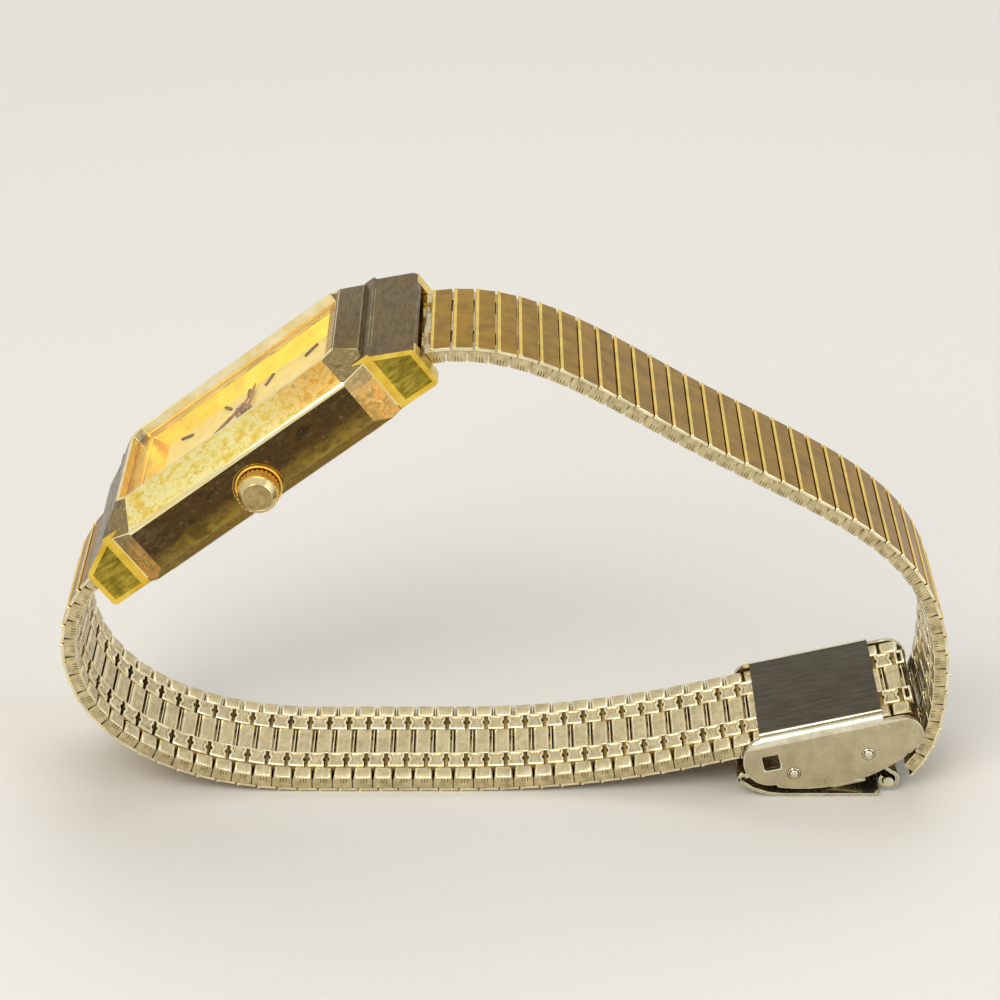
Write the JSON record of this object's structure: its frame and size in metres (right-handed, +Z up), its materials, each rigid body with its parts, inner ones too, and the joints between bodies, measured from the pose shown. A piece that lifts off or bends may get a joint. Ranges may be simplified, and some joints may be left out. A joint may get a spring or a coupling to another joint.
{
  "type": "rectangular quartz wristwatch",
  "caption": "Slim rectangular two-hand quartz watch standing as a closed loop on a strap of hinged metal links, with a sliding fold-over clasp and a knurled crown.",
  "frame": {"origin": "middle of the footprint box, on the surface the watch stands on", "axes": "+Z up, +X along the closed loop from the watch head to the clasp, -Y towards the crown"},
  "size_m": [0.0872, 0.024, 0.0494],
  "materials": {
    "case_gold": "worn polished gold plate",
    "gold": "satin gold plate",
    "wheel_brass": "machined",
    "crystal": "polished, flat",
    "gasket": "matte",
    "dial": "satin cream",
    "steel": "fine turned",
    "cell": "bright",
    "copper": "wound enamelled wire",
    "board": "matte",
    "holder": "matte",
    "magnet": "dull",
    "clasp_steel": "worn polish",
    "strap_steel": "gold caps over steel blocks"
  },
  "bodies": {
    "head": {"case_body": "case_gold", "crystal": "crystal", "crystal_gasket": "gasket", "dial_surround": "gold", "dial": "dial", "hour_markers": "gold", "stator": "steel", "coil": "copper", "movement_plate": "steel", "train_bridge": "steel", "circuit_board": "board", "battery": "cell", "battery_clip": "steel", "movement_holder": "holder", "case_back": "steel", "back_gasket": "gasket", "spring_bar_12": "steel", "spring_bar_6": "steel"},
    "minute": {"minute_hand": "gold", "cannon_pinion": "steel", "centre_wheel": "wheel_brass"},
    "minute_wheel": {"minute_wheel": "wheel_brass"},
    "hour": {"hour_hand": "gold", "hour_wheel": "wheel_brass"},
    "third_wheel": {"third_wheel": "wheel_brass"},
    "rotor": {"rotor": "magnet"},
    "crown_slide": {"crown_gasket": "gasket"},
    "crown": {"crown": "gold", "stem": "steel"},
    "run_12_1": {"run_12_1": "strap_steel"},
    "run_12_2": {"run_12_2": "strap_steel"},
    "run_12_3": {"run_12_3": "strap_steel"},
    "run_12_4": {"run_12_4": "strap_steel"},
    "run_12_5": {"run_12_5": "strap_steel"},
    "run_12_6": {"run_12_6": "strap_steel"},
    "run_12_7": {"run_12_7": "strap_steel"},
    "run_12_8": {"run_12_8": "strap_steel"},
    "run_6_1": {"run_6_1": "strap_steel"},
    "run_6_2": {"run_6_2": "strap_steel"},
    "run_6_3": {"run_6_3": "strap_steel"},
    "run_6_4": {"run_6_4": "strap_steel"},
    "run_6_5": {"run_6_5": "strap_steel"},
    "run_6_6": {"run_6_6": "strap_steel"},
    "run_6_7": {"run_6_7": "strap_steel"},
    "run_6_8": {"run_6_8": "strap_steel"},
    "run_6_9": {"run_6_9": "strap_steel"},
    "tail": {"run_6_10": "strap_steel", "run_6_11": "strap_steel"},
    "clasp": {"clasp_frame": "clasp_steel", "clasp_crossbars": "clasp_steel"},
    "flap": {"lock_flap": "clasp_steel"},
    "hook": {"clasp_hook": "clasp_steel", "lid_pin": "steel"},
    "lid": {"clasp_lid": "clasp_steel"}
  },
  "joints": [
    {"name": "minute_hand_turn", "type": "hinge", "parent": "head", "child": "minute", "pos_m": [-0.0217, 0.00128, 0.034], "axis": [0.6018, 0, -0.7986], "continuous": true},
    {"name": "minute_wheel_turn", "type": "hinge", "parent": "head", "child": "minute_wheel", "pos_m": [-0.02309, -0.00046, 0.03295], "axis": [0.6018, 0, -0.7986], "continuous": true},
    {"name": "hour_hand_turn", "type": "hinge", "parent": "head", "child": "hour", "pos_m": [-0.0217, 0.00128, 0.034], "axis": [0.6018, 0, -0.7986], "continuous": true},
    {"name": "third_wheel_turn", "type": "hinge", "parent": "head", "child": "third_wheel", "pos_m": [-0.0217, 0.00428, 0.034], "axis": [0.6018, 0, -0.7986], "continuous": true},
    {"name": "rotor_turn", "type": "hinge", "parent": "head", "child": "rotor", "pos_m": [-0.02023, 0.00582, 0.03511], "axis": [0.6018, 0, -0.7986], "continuous": true},
    {"name": "crown_pull", "type": "slide", "parent": "head", "child": "crown_slide", "axis": [0, -1, 0], "range_m": [0, 0.0008]},
    {"name": "crown_turn", "type": "hinge", "parent": "crown_slide", "child": "crown", "pos_m": [-0.0232, 0.00128, 0.036], "axis": [0, -1, 0], "continuous": true},
    {"name": "strap_12_hinge_1", "type": "hinge", "parent": "head", "child": "run_12_1", "pos_m": [-0.00907, 0.00128, 0.04715], "axis": [0, -1, 0], "range_deg": [0, 30]},
    {"name": "strap_12_hinge_2", "type": "hinge", "parent": "run_12_1", "child": "run_12_2", "pos_m": [0.00085, 0.00128, 0.04706], "axis": [0, -1, 0], "range_deg": [0, 9.9]},
    {"name": "strap_12_hinge_3", "type": "hinge", "parent": "run_12_2", "child": "run_12_3", "pos_m": [0.01, 0.00128, 0.04296], "axis": [0, -1, 0], "range_deg": [0, 6.1]},
    {"name": "strap_12_hinge_4", "type": "hinge", "parent": "run_12_3", "child": "run_12_4", "pos_m": [0.01868, 0.00128, 0.03791], "axis": [0, -1, 0], "range_deg": [0, 5]},
    {"name": "strap_12_hinge_5", "type": "hinge", "parent": "run_12_4", "child": "run_12_5", "pos_m": [0.02751, 0.00128, 0.03311], "axis": [0, -1, 0], "range_deg": [0, 5.6]},
    {"name": "strap_12_hinge_6", "type": "hinge", "parent": "run_12_5", "child": "run_12_6", "pos_m": [0.03437, 0.00128, 0.02892], "axis": [0, -1, 0], "range_deg": [0, 8.5]},
    {"name": "strap_12_hinge_7", "type": "hinge", "parent": "run_12_6", "child": "run_12_7", "pos_m": [0.04091, 0.00128, 0.02145], "axis": [0, -1, 0], "range_deg": [0, 12.2]},
    {"name": "strap_12_hinge_8", "type": "hinge", "parent": "run_12_7", "child": "run_12_8", "pos_m": [0.04264, 0.00128, 0.01163], "axis": [0, -1, 0], "range_deg": [0, 8.5]},
    {"name": "strap_6_hinge_1", "type": "hinge", "parent": "head", "child": "run_6_1", "pos_m": [-0.03782, 0.00128, 0.02548], "axis": [0, 1, 0], "range_deg": [0, 12]},
    {"name": "strap_6_hinge_2", "type": "hinge", "parent": "run_6_1", "child": "run_6_2", "pos_m": [-0.04266, 0.00128, 0.01702], "axis": [0, 1, 0], "range_deg": [0, 15.4]},
    {"name": "strap_6_hinge_3", "type": "hinge", "parent": "run_6_2", "child": "run_6_3", "pos_m": [-0.04056, 0.00128, 0.00938], "axis": [0, 1, 0], "range_deg": [0, 13.9]},
    {"name": "strap_6_hinge_4", "type": "hinge", "parent": "run_6_3", "child": "run_6_4", "pos_m": [-0.03269, 0.00128, 0.00332], "axis": [0, 1, 0], "range_deg": [0, 9.8]},
    {"name": "strap_6_hinge_5", "type": "hinge", "parent": "run_6_4", "child": "run_6_5", "pos_m": [-0.02289, 0.00128, 0.0011], "axis": [0, 1, 0], "range_deg": [0, 7.8]},
    {"name": "strap_6_hinge_6", "type": "hinge", "parent": "run_6_5", "child": "run_6_6", "pos_m": [-0.01483, 0.00128, 0.00095], "axis": [0, 1, 0], "range_deg": [0, 5]},
    {"name": "strap_6_hinge_7", "type": "hinge", "parent": "run_6_6", "child": "run_6_7", "pos_m": [-0.00475, 0.00128, 0.00095], "axis": [0, 1, 0], "range_deg": [0, 5.3]},
    {"name": "strap_6_hinge_8", "type": "hinge", "parent": "run_6_7", "child": "run_6_8", "pos_m": [0.0033, 0.00128, 0.00126], "axis": [0, 1, 0], "range_deg": [0, 6.1]},
    {"name": "strap_6_hinge_9", "type": "hinge", "parent": "run_6_8", "child": "run_6_9", "pos_m": [0.0133, 0.00128, 0.00253], "axis": [0, 1, 0], "range_deg": [0, 6.1]},
    {"name": "strap_6_hinge_10", "type": "hinge", "parent": "run_6_9", "child": "tail", "pos_m": [0.02314, 0.00128, 0.00471], "axis": [0, 1, 0], "range_deg": [0, 5]},
    {"name": "clasp_slide", "type": "slide", "parent": "tail", "child": "clasp", "axis": [0.9724, 0, 0.2334], "range_m": [-0.004, 0]},
    {"name": "lock_flap_turn", "type": "hinge", "parent": "clasp", "child": "flap", "pos_m": [0.02865, 0.00128, 0.00274], "axis": [0, -1, 0], "range_deg": [0, 10]},
    {"name": "hook_turn", "type": "hinge", "parent": "clasp", "child": "hook", "pos_m": [0.03592, 0.00128, 0.005], "axis": [0, -1, 0], "range_deg": [0, 3]},
    {"name": "lid_turn", "type": "hinge", "parent": "hook", "child": "lid", "pos_m": [0.03818, 0.00128, 0.0014], "axis": [0, -1, 0], "range_deg": [0, 100]}
  ],
  "couplings": [
    {"joint": "minute_wheel_turn", "follows": "minute_hand_turn", "ratio": -0.33333},
    {"joint": "hour_hand_turn", "follows": "minute_hand_turn", "ratio": 0.083333},
    {"joint": "third_wheel_turn", "follows": "minute_hand_turn", "ratio": -6},
    {"joint": "rotor_turn", "follows": "minute_hand_turn", "ratio": 30},
    {"joint": "strap_12_hinge_2", "follows": "strap_12_hinge_1", "ratio": 0.33},
    {"joint": "strap_12_hinge_3", "follows": "strap_12_hinge_1", "ratio": 0.2033},
    {"joint": "strap_12_hinge_4", "follows": "strap_12_hinge_1", "ratio": 0.1667},
    {"joint": "strap_12_hinge_5", "follows": "strap_12_hinge_1", "ratio": 0.1867},
    {"joint": "strap_12_hinge_6", "follows": "strap_12_hinge_1", "ratio": 0.2833},
    {"joint": "strap_12_hinge_7", "follows": "strap_12_hinge_1", "ratio": 0.4067},
    {"joint": "strap_12_hinge_8", "follows": "strap_12_hinge_1", "ratio": 0.2833},
    {"joint": "strap_6_hinge_1", "follows": "strap_12_hinge_1", "ratio": 0.4},
    {"joint": "strap_6_hinge_2", "follows": "strap_12_hinge_1", "ratio": 0.5133},
    {"joint": "strap_6_hinge_3", "follows": "strap_12_hinge_1", "ratio": 0.4633},
    {"joint": "strap_6_hinge_4", "follows": "strap_12_hinge_1", "ratio": 0.3267},
    {"joint": "strap_6_hinge_5", "follows": "strap_12_hinge_1", "ratio": 0.26},
    {"joint": "strap_6_hinge_6", "follows": "strap_12_hinge_1", "ratio": 0.1667},
    {"joint": "strap_6_hinge_7", "follows": "strap_12_hinge_1", "ratio": 0.1767},
    {"joint": "strap_6_hinge_8", "follows": "strap_12_hinge_1", "ratio": 0.2033},
    {"joint": "strap_6_hinge_9", "follows": "strap_12_hinge_1", "ratio": 0.2033},
    {"joint": "strap_6_hinge_10", "follows": "strap_12_hinge_1", "ratio": 0.1667}
  ]
}
